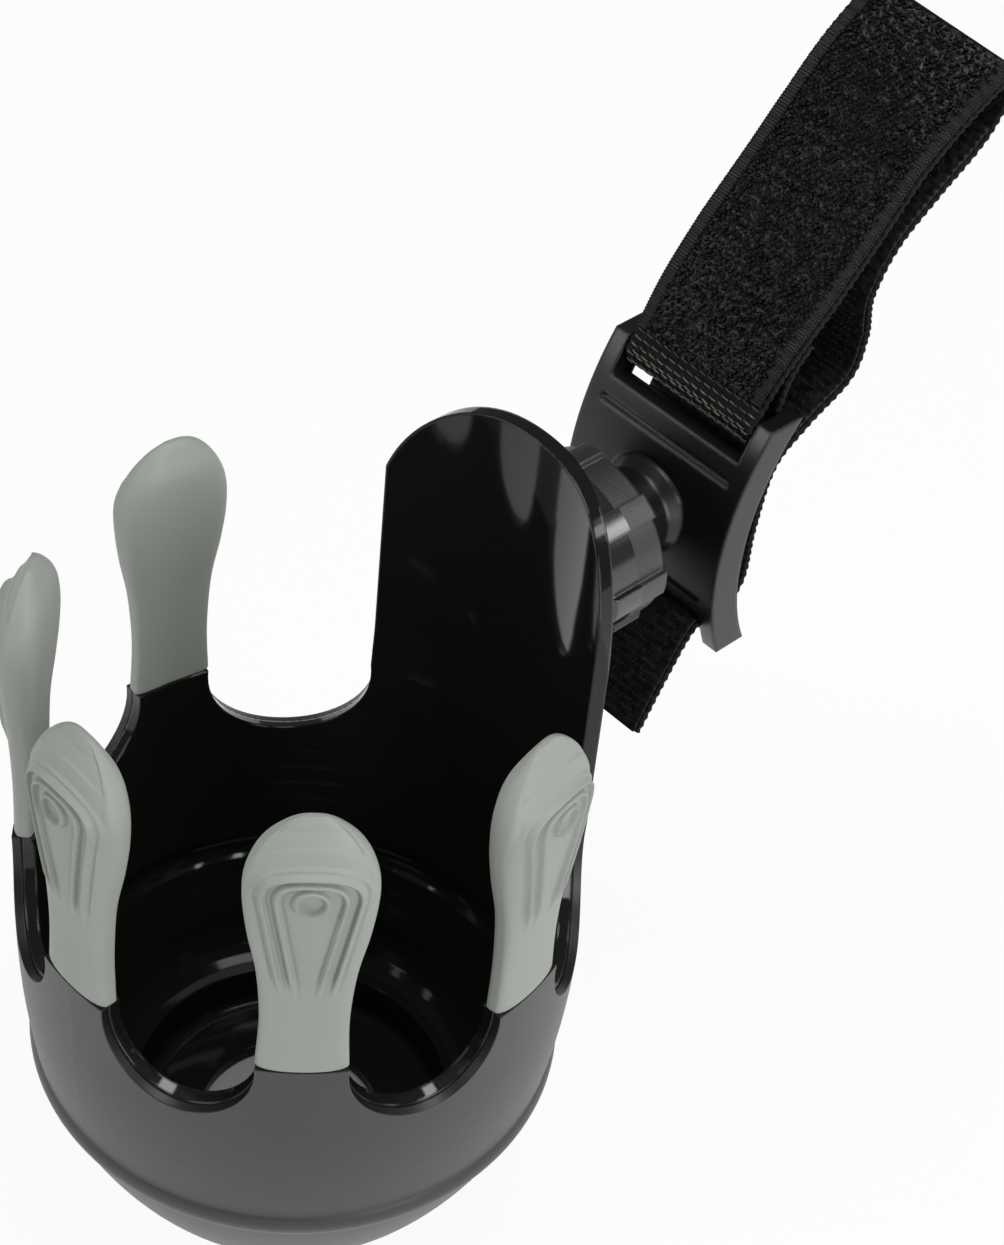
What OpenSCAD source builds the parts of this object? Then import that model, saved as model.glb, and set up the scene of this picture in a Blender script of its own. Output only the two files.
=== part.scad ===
// Cup holder that straps to a stroller handle: a two-layer cup with five soft
// fingers, a tall rear tab, a union-nut swivel and a saddle plate with a strap.
// The cup axis is Z, the clamp side is +Y, and the base stands on Z = 0.

/* [Cup] */
// Outer radius of the cup at the top of the wall
rim_r = 47; // [44:0.5:52]
// Height of the wall, where the fingers start
wall_h = 76; // [70:1:90]
// Height of the bead round the belly
bead_z = 32.5; // [28:0.5:38]
// Outer radius of the wall just above the bead
belly_r = 44.6; // [42:0.1:46]
// How far the bead stands out of the wall
bead_proud = 0.8; // [0.3:0.1:1.5]
// Height of the bead
bead_h = 4.5; // [3:0.5:7]
// Outer radius where the bowl meets the base
foot_r = 28.2; // [25:0.2:31]
// Rounding of the base edge
foot_round = 2.2; // [1:0.2:4]
// Wall of the grey outer shell
shell_t = 1.5; // [1:0.1:2.5]
// Floor of the grey outer shell
shell_floor = 3; // [2:0.1:4]
// Wall of the black liner
liner_t = 2.2; // [1.6:0.1:3]
// Floor of the black liner
liner_floor = 2.4; // [1.6:0.1:3]
// Clearance between the shell and the liner
nest_gap = 0.12; // [0.05:0.01:0.3]
// Inner radius of the ledge above the well
ledge_r = 27.6; // [25:0.2:29]
// Height of the ledge
ledge_z = 12.6; // [11:0.2:15]
// How far the wall under the ledge lies inside its edge
well_step = 0.8; // [0.4:0.1:1.4]
// Rounding between the well's wall and its floor
well_round = 2.2; // [1:0.1:3]
// Radius of the round window in the liner's floor
window_r = 16; // [12:0.5:19]

/* [Notches] */
// Angle between neighbouring fingers
finger_pitch = 49.6; // [48:0.2:52]
// Angle that each finger takes up at its root
finger_span = 17.6; // [15:0.2:19]
// Angle that the rear tab takes up
tab_span = 68; // [60:1:74]

/* [Tab] */
// Height of the tab above the wall
tab_h = 63.3; // [58:0.1:74]
// Height above the wall at which the tab starts to round over
tab_shoulder = 30; // [15:1:36]
// Fullness of the tab's rounded top, 2 is an ellipse
tab_power = 2.5; // [2:0.1:3]
// Wall of the tab
tab_t = 2.6; // [2:0.1:3.4]

/* [Fingers] */
// Height of a finger above the wall
finger_h = 53.2; // [48:0.2:62]
// Half width of a finger at its neck
finger_neck_w = 6.8; // [6:0.1:7.4]
// Half width of a finger's head
finger_head_w = 9.9; // [9:0.1:11.5]
// How far the head leans out past the rim
finger_lean = 1.7; // [0:0.1:3]
// How far the head's pad swells into the cup past the liner's wall
finger_pad = 2.6; // [1:0.1:5]
// Height of the stiff tongue inside each finger
tongue_h = 24; // [16:1:30]
// Width of the tongue
tongue_w = 7.6; // [6:0.1:9]
// Thickness of the tongue
tongue_t = 1.6; // [1.2:0.1:2]
// Clearance round the tongue
tongue_gap = 0.12; // [0.05:0.01:0.3]

/* [Swivel] */
// Height of the swivel axis above the base
swivel_z = 110.5; // [104:0.5:116]
// Radius of the threaded boss on the back of the tab
boss_r = 11.6; // [10.5:0.1:12.5]
// Distance of the boss's end from the cup axis
boss_end = 58; // [56:0.2:60]
// Radius of the nut over its ribs
nut_r = 16.2; // [15.5:0.1:18]
// Height of the nut's ribs
nut_rib_h = 1.1; // [0.6:0.1:1.6]
// Width of the nut's ribs
nut_rib_w = 4.3; // [3:0.1:5]
// Number of ribs round the nut
nut_ribs = 7; // [6:1:9]
// Turn of the first rib from the top
nut_rib_turn = -12; // [-25:1:25]
// Gap between the nut and the tab
nut_tab_gap = 3; // [2.5:0.1:3.5]
// Thickness of the nut's inward lip
nut_lip = 1.9; // [1.4:0.1:2.4]
// Bevel of the nut's edges
nut_bevel = 1.2; // [0.5:0.1:1.8]
// Running clearance of the thread and of the neck in the lip
run_gap = 0.25; // [0.15:0.05:0.4]
// Thickness of the swivel flange
flange_t = 2.4; // [2:0.1:3]
// Thickness of the friction washer
washer_t = 0.8; // [0.6:0.1:1.2]
// Clearance between faces that turn on each other
face_gap = 0.15; // [0.1:0.01:0.3]
// Radius of the neck on the clamp plate
neck_r = 7.6; // [6.5:0.1:8.2]
// Radius of the flange screw's shank
screw_r = 2; // [1.5:0.1:2.5]
// Radius of the flange screw's head
screw_head_r = 4; // [3.5:0.1:4.5]
// Height of the flange screw's head
screw_head_h = 2.6; // [2:0.1:3]
// Length of the flange screw's shank
screw_len = 10; // [8:0.5:12]

/* [Clamp plate] */
// Distance of the plate's front face from the cup axis
plate_front = 73; // [72:0.5:76]
// Width of the plate
plate_w = 36; // [33:0.5:42]
// Depth of the plate's side cheeks
plate_d = 6; // [5:0.2:8]
// Thickness of the skin between the cheeks
plate_skin = 2.8; // [2:0.1:3.5]
// Thickness of a side cheek
cheek_t = 3.2; // [2.6:0.1:4]
// Radius of the saddle that meets the tube
saddle_r = 44; // [36:1:60]
// Height of the saddle's deepest line above the base
saddle_z = 106; // [102:1:110]
// Height of the plate's top above the saddle line
plate_up = 27.4; // [24:0.2:30]
// Height of the plate's bottom below the saddle line
plate_down = 18.5; // [17:0.5:24]
// Height of a strap slot
slot_h = 2.4; // [2.2:0.1:4.5]
// Radius of the bars that the strap passes round
bar_r = 1.7; // [1.4:0.1:2.2]
// Length of the bevel beside each slot
slot_bevel = 3; // [2:0.2:7]

/* [Strap] */
// Width of the strap
strap_w = 29; // [25:0.5:29]
// Thickness of the webbing
web_t = 1.4; // [1:0.1:1.8]
// Thickness of the pile tape
pile_t = 1.5; // [1:0.1:2]
// Thickness of the hook tape
hook_t = 1; // [0.8:0.1:1.4]
// Twist of the strap's free loop at its fold
strap_twist = 15; // [0:1:26]
// Narrowing of the sewn tapes on each side
tape_inset = 0.4; // [0.2:0.1:1]
// Clearance between sewn layers
layer_gap = 0.25; // [0.1:0.05:0.4]

/* [Hidden] */
$fn = 96;
liner_gloss = [0.03, 0.03, 0.035];
shell_grey = [0.33, 0.33, 0.34];
rubber_grey = [0.52, 0.56, 0.53];
satin_black = [0.09, 0.09, 0.095];
textile_black = [0.05, 0.05, 0.055];
top_z = wall_h + tab_h;
far = 200;

// A point on a quadratic curve from a to c that leans towards b
function bend(a, b, c, t) = (1 - t) * (1 - t) * a + 2 * t * (1 - t) * b + t * t * c;
function bend_line(a, b, c, steps) = [for (i = [0:steps]) bend(a, b, c, i / steps)];

// The angles of the notches between fingers, and between the outer fingers and the tab
notch_half = (finger_pitch - finger_span) / 2;
side_edge = 2 * finger_pitch + finger_span / 2;
rear_half = (180 - tab_span / 2 - side_edge) / 2;
front_turns = [for (i = [-1.5:1:1.5]) i * finger_pitch];
rear_turns = [for (s = [-1, 1]) s * (side_edge + rear_half)];

// Outer line of the cup from the base edge to the rim, straight where the notches cut it
bead_step = 1;
bead_fade = 1.2;
bowl_bulge = [2.4, -1.2];
wall_flare = 0.4;
notch_margin = 2;
bead_low = [belly_r - bead_step, bead_z - bead_h / 2];
bead_mid = [belly_r + 2 * bead_proud, bead_z + bead_fade / 2];
bead_top = [belly_r, bead_z + bead_h / 2 + bead_fade];
foot_top = [foot_r, foot_round];
bowl_lean = (foot_top + bead_low) / 2 + bowl_bulge;
wall_low = [rim_r - wall_flare, wall_h - rim_r * tan(max(notch_half, rear_half)) - notch_margin];
wall_lean = [rim_r - 2 * wall_flare, (bead_top[1] + wall_low[1]) / 2 - bead_step];
cup_line = concat(
    bend_line([foot_r - foot_round, 0], [foot_r - foot_round * 0.35, foot_round * 0.25], foot_top, 4),
    [for (p = bend_line(foot_top, bowl_lean, bead_low, 10)) if (p[1] > foot_round) p],
    [for (p = bend_line(bead_low, bead_mid, bead_top, 8)) if (p[1] > bead_low[1]) p],
    [for (p = bend_line(bead_top, wall_lean, wall_low, 6)) if (p[1] > bead_top[1]) p],
    [[rim_r, wall_h]]);

// The same line moved inwards by d, kept above height low
function inner_line(d, low) = [for (p = cup_line) if (p[1] > low) [p[0] - d, p[1]]];
// Radius of the outer line at height z
function cup_r(z) = lookup(z, [for (p = cup_line) [p[1], p[0]]]);

// A sector of a ring about Z, centred on the angle turn from -Y
module sector(r_in, r_out, low, high, span, turn) {
    rotate([0, 0, turn - 90 - span / 2])
        rotate_extrude(angle = span) translate([r_in, low]) square([r_out - r_in, high - low]);
}

// One notch: its round bottom is a cone that widens outwards from the cup axis. The cone's
// own axis lies a little below the wall's edge.
notch_reach = 12;
notch_drop = 1.2;
notch_near = rim_r - notch_reach;
notch_far = rim_r + notch_reach;
module notch(turn, half) {
    rotate([0, 0, turn]) translate([0, -notch_near, wall_h - notch_drop]) rotate([90, 0, 0]) rotate([0, 0, 90])
        cylinder(r1 = notch_near * tan(half), r2 = notch_far * tan(half), h = notch_far - notch_near);
}
module notches() {
    for (turn = front_turns) notch(turn, notch_half);
    for (turn = rear_turns) notch(turn, rear_half);
}

// The tab's rounded outline, seen along Y
tab_over = 0.2;
tab_margin = 9;
tab_w = rim_r * sin(tab_span / 2) + tab_over;
function round_over(a) = [tab_w * sign(cos(a)) * pow(abs(cos(a)), 2 / tab_power),
                          wall_h + tab_shoulder + (tab_h - tab_shoulder) * pow(sin(a), 2 / tab_power)];

// Everything above the wall that isn't tab: the sector opposite it and the outside of its outline
module tab_trim() {
    rotate([0, 0, 90 + tab_over + tab_span / 2]) rotate_extrude(angle = 360 - tab_span - 2 * tab_over)
        translate([rim_r - tab_margin, wall_h]) square([2 * tab_margin, tab_h + tab_margin]);
    translate([0, rim_r + tab_margin, 0]) rotate([90, 0, 0]) linear_extrude(rim_r + tab_margin) polygon(concat(
        [[-tab_w - tab_margin, wall_h + tab_shoulder]], [for (a = [180:-3:0]) round_over(a)],
        [[tab_w + tab_margin, wall_h + tab_shoulder], [tab_w + tab_margin, top_z + tab_margin],
         [-tab_w - tab_margin, top_z + tab_margin]]));
}

// The inside and the back of the liner, with the ledge that the bowl rounds into
liner_back_in = shell_t + nest_gap;
liner_in = liner_back_in + liner_t;
tab_in = rim_r - tab_t;
well_z = shell_floor + nest_gap + liner_floor;
well_r = ledge_r - well_step;
ledge_rise = 8;
ledge_slope = 0.2;
ledge_end = [cup_r(ledge_z + ledge_rise) - liner_in, ledge_z + ledge_rise];
liner_line = concat(
    [[window_r, well_z]],
    bend_line([well_r - well_round, well_z], [well_r, well_z], [well_r, well_z + well_round], 3),
    bend_line([ledge_r, ledge_z], [ledge_end[0] - liner_t, ledge_z + ledge_slope], ledge_end, 6),
    inner_line(liner_in, ledge_end[1]));
liner_back = concat(
    [[window_r, well_z - liner_floor], [well_r - 0.5 * liner_t, well_z - liner_floor],
     [well_r + 0.5 * liner_t, well_z], [ledge_r + liner_t, ledge_z - 0.7 * liner_t],
     [cup_r(ledge_z) - liner_back_in, ledge_z - 2 * ledge_slope]],
    inner_line(liner_back_in, ledge_z));

// The tab carries on the wall and stands out over the shell's edge
tab_slope = 9;
tab_line = [[tab_in, wall_h + tab_slope], [tab_in, top_z], [rim_r, top_z], [rim_r, wall_h + nest_gap],
            [rim_r - liner_back_in, wall_h + nest_gap]];

module liner() color(liner_gloss) difference() {
    union() {
        difference() {
            rotate([0, 0, -90]) rotate_extrude() polygon(concat(liner_line, tab_line,
                [for (i = [len(liner_back) - 1:-1:0]) liner_back[i]]));
            tab_trim();
            notches();
        }
        for (i = [-2:2]) tongue(i * finger_pitch, 0);
        boss();
    }
    boss_bore();
}

floor_corner = 1;
module shell() color(shell_grey) difference() {
    rotate([0, 0, -90]) rotate_extrude() polygon(concat([[0, 0]], cup_line,
        [for (i = [len(cup_line) - 1:-1:0]) if (cup_line[i][1] > shell_floor)
            [cup_line[i][0] - shell_t, cup_line[i][1]]],
        [[cup_r(shell_floor) - shell_t - floor_corner, shell_floor], [0, shell_floor]]));
    notches();
}

// The stiff tongue of the liner inside a finger, grown by gap on every side
tongue_mid = rim_r - liner_back_in - liner_t / 2;
tongue_root = 3;
module tongue(turn, gap) sector(tongue_mid - tongue_t / 2 - gap, tongue_mid + tongue_t / 2 + gap,
    wall_h - tongue_root, wall_h + tongue_h + gap, 2 * asin((tongue_w / 2 + gap) / tongue_mid), turn);

// Stations up a finger: share of its height, half width, outer radius, inner radius, roundness of the inside
finger_root_w = rim_r * sin(finger_span / 2);
finger_in = rim_r - liner_in;
finger_out = rim_r + finger_lean;
finger_stations = [
    [0, finger_root_w, rim_r, finger_in, 6],
    [0.2, finger_neck_w, rim_r, finger_in - 0.1 * finger_pad, 5],
    [0.4, finger_neck_w + 0.7, rim_r + 0.25 * finger_lean, finger_in - 0.3 * finger_pad, 3.2],
    [0.57, finger_head_w - 0.8, rim_r + 0.65 * finger_lean, finger_in - 0.7 * finger_pad, 2.4],
    [0.71, finger_head_w, finger_out - 0.1, finger_in - finger_pad, 2.1],
    [0.81, finger_head_w - 0.3, finger_out, finger_in - 1.1 * finger_pad, 2.1],
    [0.9, finger_head_w - 2.2, finger_out - 1.2, finger_in - finger_pad, 2],
    [0.965, finger_head_w - 5.4, finger_out - 2.9, finger_in - 0.5 * finger_pad, 2]];
finger_crown = [1, 1.4, finger_out - 4.4, finger_in - 0.1 * finger_pad, 2];
finger_all = concat(finger_stations, [finger_crown]);

// A value between stations by a smooth curve through them
function smooth(p0, p1, p2, p3, t) = 0.5 * (2 * p1 + (p2 - p0) * t + (2 * p0 - 5 * p1 + 4 * p2 - p3) * t * t
    + (3 * p1 - p0 - 3 * p2 + p3) * t * t * t);
function through(pts, i, t) = smooth(pts[max(i - 1, 0)], pts[i], pts[i + 1], pts[min(i + 2, len(pts) - 1)], t);
function smooth_line(pts, steps) = concat(
    [for (i = [0:len(pts) - 2]) for (k = [0:steps - 1]) through(pts, i, k / steps)], [pts[len(pts) - 1]]);

// Each station's outline is a superellipse: square at the sides and outside, rounder inside
finger_sides = 28;
finger_edge = 3.2;
finger_edge_share = 0.42;
side_power = 3;
face_power = 3.4;
finger_rings = smooth_line(finger_all, 2);
function finger_point(s, a) =
    let (w = s[1], edge = min(finger_edge, finger_edge_share * (s[2] - s[3])), mid = s[2] - edge,
         x = w * sign(cos(a)) * pow(abs(cos(a)), 2 / side_power),
         r = sin(a) >= 0 ? mid + edge * pow(sin(a), 2 / face_power)
                         : mid - (mid - s[3]) * pow(-sin(a), 2 / max(s[4], 2)))
    [x, -sqrt(r * r - x * x), wall_h + finger_h * s[0]];
finger_points = [for (s = finger_rings) for (k = [0:finger_sides - 1])
    finger_point(s, (k + 0.5) * 360 / finger_sides)];
finger_last = len(finger_rings) - 1;
finger_faces = concat(
    [[for (k = [finger_sides - 1:-1:0]) k]],
    [for (j = [0:finger_last - 1]) for (k = [0:finger_sides - 1])
        let (a = j * finger_sides + k, b = j * finger_sides + (k + 1) % finger_sides)
        [a, b, b + finger_sides, a + finger_sides]],
    [[for (k = [0:finger_sides - 1]) finger_last * finger_sides + k]]);

module finger(turn) color(rubber_grey) difference() {
    rotate([0, 0, turn]) mirror([1, 0, 0]) polyhedron(finger_points, finger_faces, convexity = 4);
    tongue(turn, tongue_gap);
}
module grip_front() finger(0);
module grip_front_left() finger(-finger_pitch);
module grip_front_right() finger(finger_pitch);
module grip_side_left() finger(-2 * finger_pitch);
module grip_side_right() finger(2 * finger_pitch);

// Places a child drawn along +Z so that it points along +Y from the swivel axis at distance y
module along_swivel(y) translate([0, y, swivel_z]) rotate([-90, 0, 0]) children();

// The boss on the back of the tab and the well for the screw's head in it
boss_root = 4;
screw_well_gap = 1.4;
screw_well_depth = 2;
module boss() difference() {
    along_swivel(tab_in - boss_root) cylinder(r = boss_r, h = boss_end - tab_in + boss_root);
    cylinder(r = tab_in + tab_t / 3, h = far);
}
flange_y = boss_end + face_gap;
head_y = flange_y - screw_head_h;
module boss_bore() along_swivel(head_y - screw_well_depth) cylinder(r = screw_head_r + screw_well_gap, h = far);

nut_y = rim_r + nut_tab_gap;
washer_y = flange_y + flange_t + face_gap;
lip_y = washer_y + washer_t + face_gap;
nut_end = lip_y + nut_lip;
nut_l = nut_end - nut_y;

// A round bar with bevelled ends
module bevelled(r, h, b) {
    rotate_extrude() polygon([[0, 0], [r - b, 0], [r, b], [r, h - b], [r - b, h], [0, h]]);
}
module knob() color(satin_black) along_swivel(nut_y) difference() {
    union() {
        bevelled(nut_r - nut_rib_h, nut_l, nut_bevel);
        intersection() {
            bevelled(nut_r, nut_l, nut_bevel);
            for (i = [0:nut_ribs - 1]) rotate([0, 0, nut_rib_turn + i * 360 / nut_ribs - 180])
                translate([-nut_rib_w / 2, nut_r / 2, 0]) cube([nut_rib_w, nut_r, nut_l]);
        }
    }
    translate([0, 0, -1]) cylinder(r = boss_r + run_gap, h = lip_y - nut_y + 1);
    cylinder(r = neck_r + run_gap, h = far);
}

module washer() color(textile_black) along_swivel(washer_y) difference() {
    cylinder(r = boss_r - run_gap, h = washer_t);
    translate([0, 0, -1]) cylinder(r = neck_r + run_gap, h = far);
}

// The flange sits on a six-sided spigot at the end of the neck
spigot_r = neck_r - 2.2;
flange_web = 0.9;
module swivel_flange() color(satin_black) along_swivel(flange_y) difference() {
    cylinder(r = boss_r - run_gap, h = flange_t);
    translate([0, 0, flange_web]) cylinder(r = spigot_r + face_gap, h = far, $fn = 6);
    translate([0, 0, -1]) cylinder(r = screw_r + face_gap, h = far);
}

screw_bevel = 0.6;
screw_seat = 0.02;
drive_l = 4.4;
drive_w = 0.9;
drive_depth = 1.4;
module flange_screw() color("silver") along_swivel(head_y) difference() {
    union() {
        bevelled(screw_head_r, screw_head_h - screw_seat, screw_bevel);
        cylinder(r = screw_r, h = screw_head_h + screw_len);
    }
    for (a = [0, 90]) rotate([0, 0, a]) translate([-drive_l / 2, -drive_w / 2, -1])
        cube([drive_l, drive_w, drive_depth + 1]);
}

// The saddle is a ring about a line along X behind the plate
saddle_y = plate_front + plate_d + saddle_r;
plate_top = saddle_z + plate_up;
plate_bottom = saddle_z - plate_down;
inner_w = plate_w - 2 * cheek_t;
// Distance from the cup axis of the saddle ring of radius r at height z
function ring_y(r, z) = saddle_y - sqrt(r * r - (z - saddle_z) * (z - saddle_z));
module saddle_ring(r_in, r_out, w) intersection() {
    translate([-w / 2, saddle_y, saddle_z]) rotate([0, 90, 0]) difference() {
        cylinder(r = r_out, h = w);
        translate([0, 0, -1]) cylinder(r = r_in, h = w + 2);
    }
    translate([-w / 2, 0, plate_bottom]) cube([w, saddle_y, plate_top - plate_bottom]);
}

// The bars lie this far inside the plate's edges. The bottom slot also takes the hook tape.
bar_edge = 0.7;
bar_seat = 1;
bar_top = [ring_y(saddle_r + plate_d / 2, plate_top - bar_r - bar_edge), plate_top - bar_r - bar_edge];
bar_bottom = [ring_y(saddle_r + plate_d / 2, plate_bottom + bar_r + bar_edge), plate_bottom + bar_r + bar_edge];
skin_top = bar_top[1] - bar_r - slot_h;
skin_bottom = bar_bottom[1] + bar_r + slot_h + hook_t;
outer_saddle = saddle_r + plate_d;

// The sloped lip where the strap slides into a slot, on the front of the skin
slot_slope = 32;
module slot_lip(z, up) translate([-inner_w / 2, ring_y(outer_saddle, z - up * slot_bevel), z - up * slot_bevel])
    rotate([up * slot_slope, 0, 0]) translate([0, -plate_skin, up > 0 ? -1 : -2 * slot_bevel])
        cube([inner_w, plate_skin, 2 * slot_bevel + 1]);

neck_foot = 1.6;
screw_tip_gap = 0.5;
module clamp_plate() color(satin_black) difference() {
    union() {
        difference() {
            saddle_ring(saddle_r, outer_saddle, plate_w);
            translate([-inner_w / 2, 0, plate_bottom - 1]) cube([inner_w, far, far]);
        }
        difference() {
            intersection() {
                saddle_ring(outer_saddle - plate_skin, outer_saddle, plate_w - cheek_t);
                translate([-plate_w / 2, 0, skin_bottom]) cube([plate_w, far, skin_top - skin_bottom]);
            }
            slot_lip(skin_top, 1);
            slot_lip(skin_bottom, -1);
        }
        for (bar = [bar_top, bar_bottom])
            translate([-plate_w / 2 + bar_seat, bar[0], bar[1]]) rotate([0, 90, 0])
                cylinder(r = bar_r, h = plate_w - 2 * bar_seat);
        along_swivel(flange_y + flange_t) {
            cylinder(r = neck_r, h = plate_front + plate_skin / 2 - flange_y - flange_t);
            translate([0, 0, plate_front - flange_y - flange_t - neck_foot])
                cylinder(r1 = neck_r, r2 = neck_r + neck_foot, h = neck_foot + plate_skin / 3);
        }
        along_swivel(flange_y + flange_web + face_gap) cylinder(r = spigot_r, h = flange_t, $fn = 6);
    }
    along_swivel(0) cylinder(r = screw_r, h = head_y + screw_head_h + screw_len + screw_tip_gap);
}

// The strap's middle line in Y and Z: a sewn eye round the top bar, the free loop, the run
// across the saddle, the pass through the bottom slot and the tail
eye_gap = 0.2;
eye_r = bar_r + eye_gap + web_t / 2;
loop_foot = [plate_front + 9.2, saddle_z + 23.3];
strap_line = concat(
    [bar_top + [8.8, 13.4], bar_top + [5.6, 9.4]],
    [for (a = [-18, -62, -100, -140, -180, -218]) bar_top + eye_r * [cos(a), sin(a)]],
    [for (p = [[5.3, 13.1], [13.8, 22.4], [22.5, 31.4], [30.5, 40], [38.6, 46.9], [47.2, 52], [50, 52.4],
               [51, 50.2], [48.9, 46.9], [44.8, 40.3], [35.8, 34.1], [27.2, 27.4], [23.2, 19.2],
               [24.6, 9.6], [22.5, 2.1], [13.1, -3.3], [6.2, -9], [3.7, -21.2]]) loop_foot + p],
    [bar_bottom + [6.6, 8.4], bar_bottom + [4.6, 4.4], bar_bottom + [-0.4, bar_r + 1.6],
     bar_bottom + [-5.2, 1.2], bar_bottom + [-10.4, -7], bar_bottom + [-15.4, -16.4]]);
strap_path = smooth_line(strap_line, 3);
strap_last = len(strap_path) - 1;

function unit(v) = v / norm(v);
function strap_dir(i) = unit(strap_path[min(i + 1, strap_last)] - strap_path[max(i - 1, 0)]);
// The free loop leans over to one side more and more towards its fold
loop_lean = unit([-0.66, 0.75]);
loop_twists = [[8, 0], [22, 0.55 * strap_twist], [40, 0.4 * strap_twist], [52, strap_twist]];

// The four corners of one layer of the strap at station i, between the offsets low and high
function band_corners(i, w, low, high) =
    let (p = strap_path[i], d = strap_dir(i), a = lookup(p[1] - loop_foot[1], loop_twists),
         across = [cos(a), -sin(a) * loop_lean[0], -sin(a) * loop_lean[1]],
         out = unit(cross(across, [0, d[0], d[1]])))
    [for (c = [[-1, low], [1, low], [1, high], [-1, high]])
        [0, p[0], p[1]] + c[0] * w / 2 * across + c[1] * out];

module band(first, last, w, low, high) {
    rings = last - first;
    polyhedron(
        [for (i = [first:last]) for (p = band_corners(i, w, low, high)) p],
        concat([[3, 2, 1, 0]],
            [for (j = [0:rings - 1]) for (k = [0:3]) for (half = [0, 1])
                let (a = 4 * j + k, b = 4 * j + (k + 1) % 4)
                half == 0 ? [a, b, k == 0 ? a + 4 : b + 4] : [k == 0 ? b : a, b + 4, a + 4]],
            [[for (k = [0:3]) 4 * rings + k]]),
        convexity = 10);
}

// Where the sewn tapes start and end, as stations of the strap's line
pile_first = 22;
pile_last = 40;
hook_first = 50;
tape_w = strap_w - 2 * tape_inset;
tape_seat = web_t / 2 + layer_gap;
module strap_webbing() color(textile_black)
    band(0, strap_last, strap_w, -web_t / 2, web_t / 2);
module pile_tape() color(textile_black)
    band(pile_first, pile_last, tape_w, tape_seat, tape_seat + pile_t);
module hook_tape() color(textile_black)
    band(hook_first, strap_last, tape_w, -tape_seat - hook_t, -tape_seat);

liner();
shell();
grip_front();
grip_front_left();
grip_front_right();
grip_side_left();
grip_side_right();
knob();
washer();
swivel_flange();
flange_screw();
clamp_plate();
strap_webbing();
pile_tape();
hook_tape();
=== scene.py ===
"""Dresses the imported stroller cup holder: a two-layer cup with five soft fingers and a
tall tab, a union-nut swivel, and a saddle plate with a strap. Metres, base on z = 0."""
from math import cos, pi, radians, sin

import bpy
import numpy as np
from mathutils import Matrix, Vector


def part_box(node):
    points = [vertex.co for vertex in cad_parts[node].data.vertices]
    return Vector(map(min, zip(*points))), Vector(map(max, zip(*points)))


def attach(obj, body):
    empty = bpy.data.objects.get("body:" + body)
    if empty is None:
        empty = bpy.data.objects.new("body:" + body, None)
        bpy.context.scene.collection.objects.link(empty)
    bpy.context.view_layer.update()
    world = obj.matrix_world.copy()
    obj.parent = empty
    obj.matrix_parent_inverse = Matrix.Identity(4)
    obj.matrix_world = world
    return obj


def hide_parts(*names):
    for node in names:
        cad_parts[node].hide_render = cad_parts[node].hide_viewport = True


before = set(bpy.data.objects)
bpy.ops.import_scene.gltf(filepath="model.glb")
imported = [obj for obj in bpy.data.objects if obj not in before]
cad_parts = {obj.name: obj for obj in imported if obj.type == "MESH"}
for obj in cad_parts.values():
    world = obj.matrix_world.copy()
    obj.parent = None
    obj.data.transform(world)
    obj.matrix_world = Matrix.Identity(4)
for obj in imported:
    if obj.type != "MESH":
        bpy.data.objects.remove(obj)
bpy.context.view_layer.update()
MM = 0.001

# ---- Shell ------------------------------------------------------------------------------
# The outer cup: satin grey moulded plastic with a bead round its belly, pushed over the
# liner from below. Its CAD form stays, and gets the finish of a spark-eroded mould.
shell_grey = (0.033, 0.033, 0.0333, 1)
# The well's floor, seen through the hole in the liner, gets a lighter grey than the shell: painted light, a pool of
# light at the bottom of the cup.
well_painted_light_grey = (0.27, 0.275, 0.275, 1)


def surface_group(name, inputs, outputs):
    """A shader group with the given sockets, and its input and output nodes."""
    group = bpy.data.node_groups.new(name, "ShaderNodeTree")
    for label, kind, default in inputs:
        socket = group.interface.new_socket(label, in_out="INPUT", socket_type=kind)
        if default is not None:
            socket.default_value = default
    for label, kind in outputs:
        group.interface.new_socket(label, in_out="OUTPUT", socket_type=kind)
    return group, group.nodes.new("NodeGroupInput"), group.nodes.new("NodeGroupOutput")


def wire(tree, source, target):
    tree.links.new(source, target)


def noise(tree, coords, scale, detail=2.0):
    node = tree.nodes.new("ShaderNodeTexNoise")
    node.inputs["Detail"].default_value = detail
    wire(tree, coords, node.inputs["Vector"])
    if isinstance(scale, (int, float)):
        node.inputs["Scale"].default_value = scale
    else:
        wire(tree, scale, node.inputs["Scale"])
    return node.outputs["Fac"]


def math_node(tree, operation, *values, clamp=False):
    node = tree.nodes.new("ShaderNodeMath")
    node.operation = operation
    node.use_clamp = clamp
    for slot, value in zip(node.inputs, values):
        if isinstance(value, (int, float)):
            slot.default_value = value
        else:
            wire(tree, value, slot)
    return node.outputs[0]


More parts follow.
